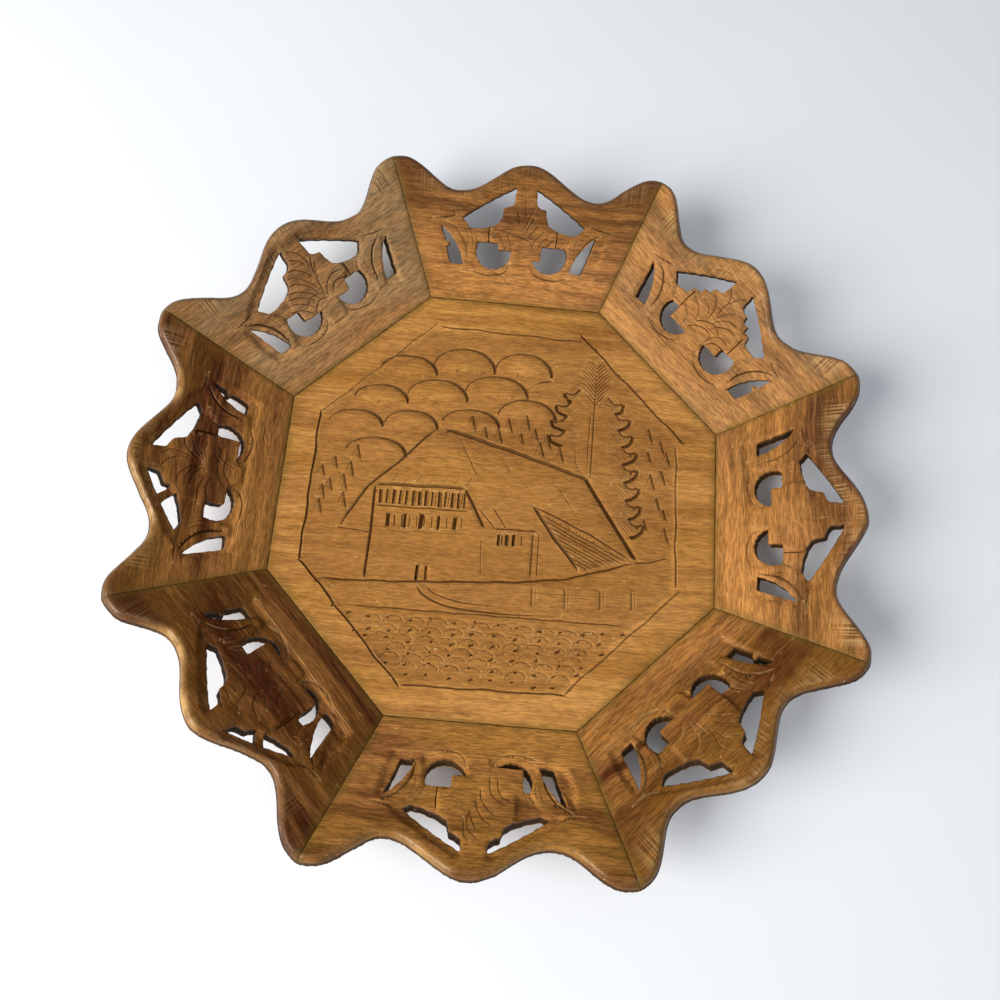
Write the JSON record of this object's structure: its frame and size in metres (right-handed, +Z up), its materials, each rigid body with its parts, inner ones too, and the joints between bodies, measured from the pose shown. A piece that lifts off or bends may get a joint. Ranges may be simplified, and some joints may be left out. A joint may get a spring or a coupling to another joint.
{
  "type": "octagonal serving tray",
  "caption": "Octagonal wooden serving tray with a flat carved floor and flared, scalloped sides that are pierced around a leaf.",
  "frame": {"origin": "centre of the underside, on the surface that the tray stands on", "axes": "+Z up, +Y towards the middle of the north side, +X towards the middle of the east side"},
  "size_m": [0.2924, 0.2924, 0.037],
  "materials": {
    "floor_wood": "waxed, satin",
    "side_wood": "waxed, satin",
    "tongue_wood": "bare"
  },
  "bodies": {
    "root": {"floor_board": "floor_wood", "side_n": "side_wood", "side_nw": "side_wood", "side_w": "side_wood", "side_sw": "side_wood", "side_s": "side_wood", "side_se": "side_wood", "side_e": "side_wood", "side_ne": "side_wood", "floor_tongue_n": "tongue_wood", "floor_tongue_nw": "tongue_wood", "floor_tongue_w": "tongue_wood", "floor_tongue_sw": "tongue_wood", "floor_tongue_s": "tongue_wood", "floor_tongue_se": "tongue_wood", "floor_tongue_e": "tongue_wood", "floor_tongue_ne": "tongue_wood", "mitre_tongue_n_nw": "tongue_wood", "mitre_tongue_nw_w": "tongue_wood", "mitre_tongue_w_sw": "tongue_wood", "mitre_tongue_sw_s": "tongue_wood", "mitre_tongue_s_se": "tongue_wood", "mitre_tongue_se_e": "tongue_wood", "mitre_tongue_e_ne": "tongue_wood", "mitre_tongue_ne_n": "tongue_wood"}
  },
  "joints": []
}
